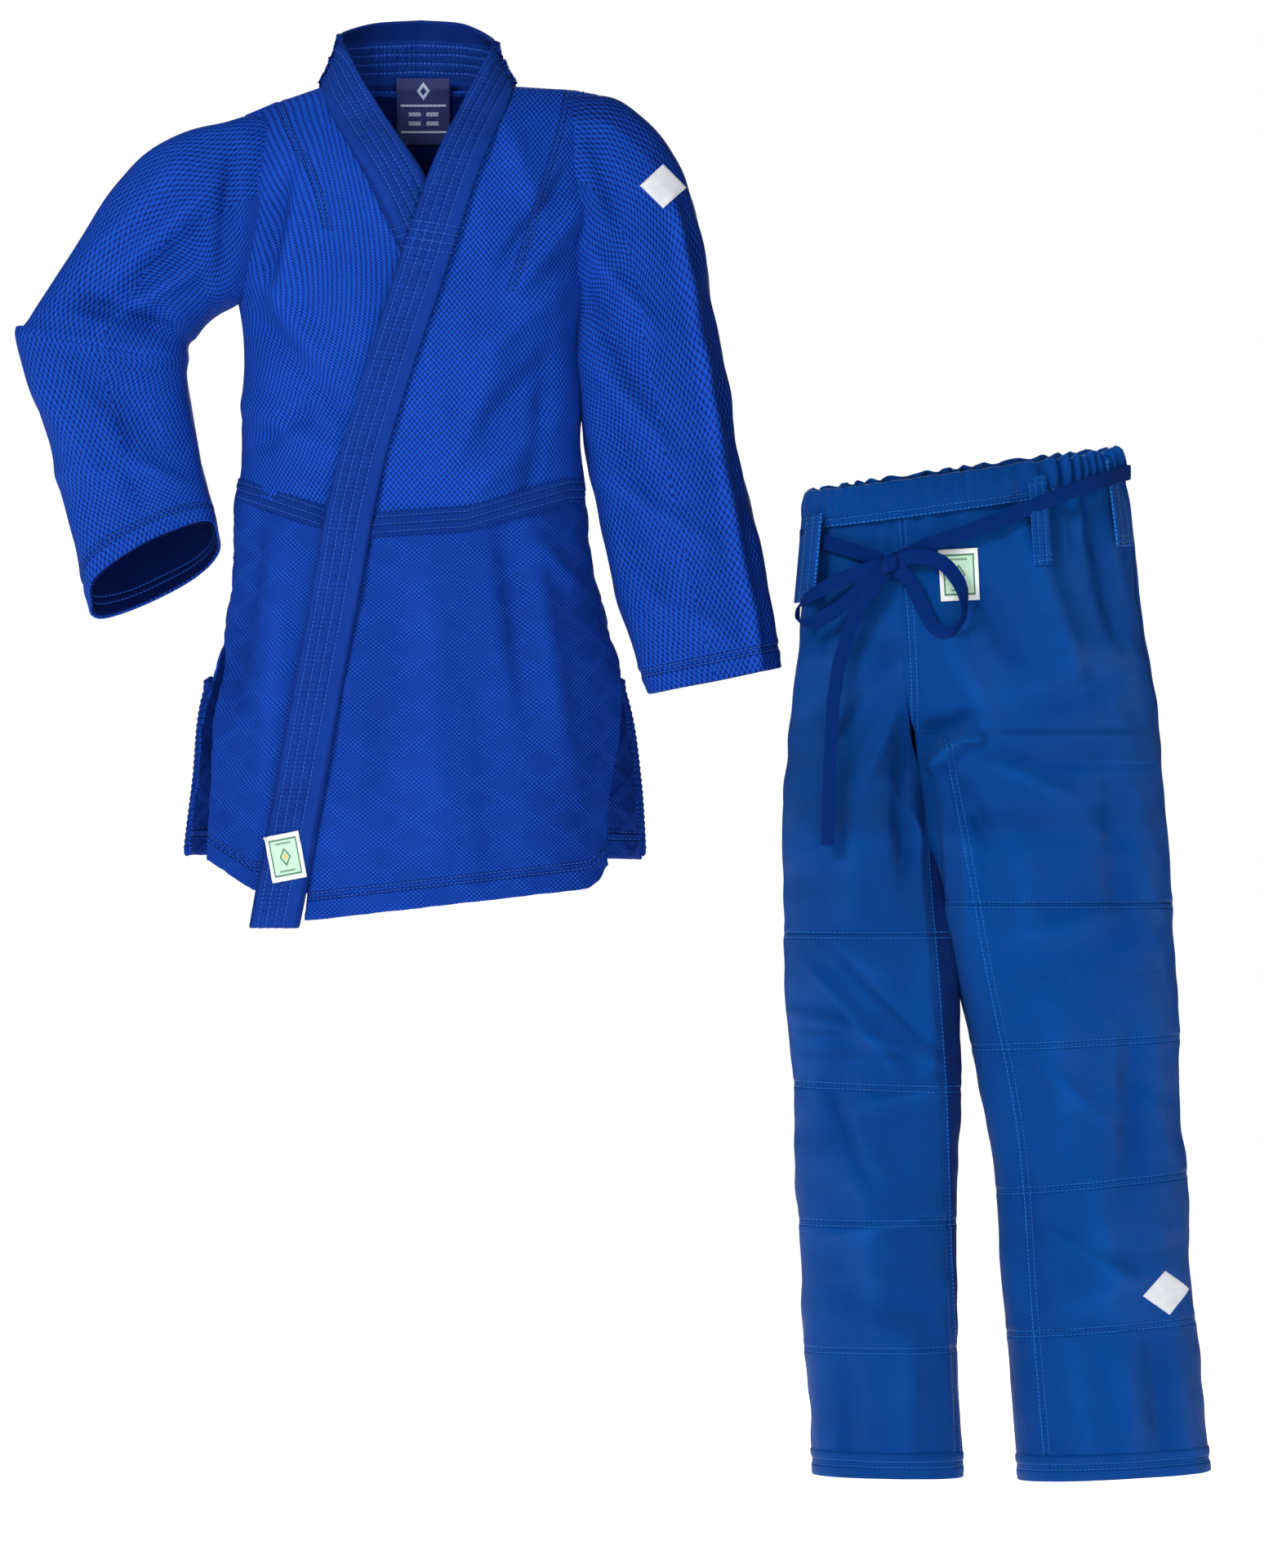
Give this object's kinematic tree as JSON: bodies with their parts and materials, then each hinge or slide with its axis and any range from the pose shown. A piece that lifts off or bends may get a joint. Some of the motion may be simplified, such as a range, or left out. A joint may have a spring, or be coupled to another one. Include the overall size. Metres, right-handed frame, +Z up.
{
  "type": "martial arts uniform",
  "caption": "Judo-style uniform in its worn shape: a wrap jacket with stitched lapels and quilted skirt, and drawstring trousers beside it.",
  "frame": {"origin": "middle of the jacket's neck opening", "axes": "+Z up along the body, -Y the front of both garments, +X the wearer's left"},
  "size_m": [1.1741, 0.2284, 1.426],
  "materials": {
    "jacket_weave": "matt rice-grain cotton weave, royal blue",
    "quilted_skirt": "matt diamond-quilted cotton, royal blue",
    "lapel_twill": "stitched cotton twill band, royal blue",
    "seam_band": "flat cotton seam band and facing, royal blue",
    "trouser_twill": "smooth cotton twill, royal blue",
    "drawstring": "flat woven cotton tape, dark blue",
    "embroidery": "white satin-stitch embroidery",
    "woven_label": "white woven label with a green edge",
    "printed_label": "pale print on blue cotton"
  },
  "bodies": {
    "jacket_body": {"back_panel": "jacket_weave", "skirt_back": "quilted_skirt", "waist_band_back": "seam_band", "right_front_panel": "jacket_weave", "skirt_right_front": "quilted_skirt", "waist_band_right_front": "seam_band", "left_front_yoke": "jacket_weave", "left_side_panel": "quilted_skirt", "collar": "lapel_twill", "lapel_right": "lapel_twill", "lapel_left_upper": "lapel_twill", "shoulder_lining_right": "seam_band", "shoulder_lining_left": "seam_band", "vent_binding_right": "seam_band", "vent_binding_left": "seam_band", "size_label": "printed_label"},
    "front_flap": {"left_front_panel": "jacket_weave", "skirt_left_front": "quilted_skirt", "waist_band_left_front": "seam_band", "lapel_left_lower": "lapel_twill", "lapel_label": "woven_label"},
    "left_sleeve_tube": {"left_sleeve": "jacket_weave", "left_cuff_facing": "seam_band", "sleeve_patch": "embroidery"},
    "right_upper_sleeve": {"right_sleeve_upper": "jacket_weave"},
    "right_forearm": {"right_sleeve_lower": "jacket_weave", "right_cuff_facing": "seam_band"},
    "trousers_seat": {"seat_front_right": "trouser_twill", "seat_front_left": "trouser_twill", "seat_back_right": "trouser_twill", "seat_back_left": "trouser_twill", "waistband_front": "trouser_twill", "waistband_back": "trouser_twill", "belt_loop_right": "trouser_twill", "belt_loop_front": "trouser_twill", "belt_loop_left": "trouser_twill", "drawstring_right_run": "drawstring", "drawstring_left_run": "drawstring", "drawstring_knot": "drawstring", "bow_loop_right": "drawstring", "bow_loop_left": "drawstring", "drawstring_tail": "drawstring", "trouser_label": "woven_label"},
    "right_leg": {"right_leg_front": "trouser_twill", "right_leg_back": "trouser_twill", "right_knee_patch": "trouser_twill", "right_leg_hem": "trouser_twill"},
    "left_leg": {"left_leg_front": "trouser_twill", "left_leg_back": "trouser_twill", "left_knee_patch": "trouser_twill", "left_leg_hem": "trouser_twill", "leg_patch": "embroidery"}
  },
  "joints": [
    {"name": "front_opening", "type": "hinge", "parent": "jacket_body", "child": "front_flap", "pos_m": [0.1199, -0.0648, -0.296], "axis": [-0.137, 0.0107, 0.9905], "range_deg": [0, 35]},
    {"name": "left_shoulder_swing", "type": "hinge", "parent": "jacket_body", "child": "left_sleeve_tube", "pos_m": [0.156, 0, -0.116], "axis": [-1, 0, 0], "range_deg": [-15, 30]},
    {"name": "right_shoulder_swing", "type": "hinge", "parent": "jacket_body", "child": "right_upper_sleeve", "pos_m": [-0.18, 0, -0.142], "axis": [-1, 0, 0], "range_deg": [-15, 30]},
    {"name": "right_elbow", "type": "hinge", "parent": "right_upper_sleeve", "child": "right_forearm", "pos_m": [-0.31, 0, -0.268], "axis": [0, 1, 0], "range_deg": [0, 50]},
    {"name": "trousers_apart", "type": "slide", "parent": "jacket_body", "child": "trousers_seat", "axis": [1, 0, 0], "range_m": [0, 0.15]},
    {"name": "right_leg_spread", "type": "hinge", "parent": "trousers_seat", "child": "right_leg", "pos_m": [0.43, 0, -0.64], "axis": [0, 1, 0], "range_deg": [0, 15]},
    {"name": "left_leg_spread", "type": "hinge", "parent": "trousers_seat", "child": "left_leg", "pos_m": [0.616, 0, -0.64], "axis": [0, -1, 0], "range_deg": [0, 15]}
  ]
}
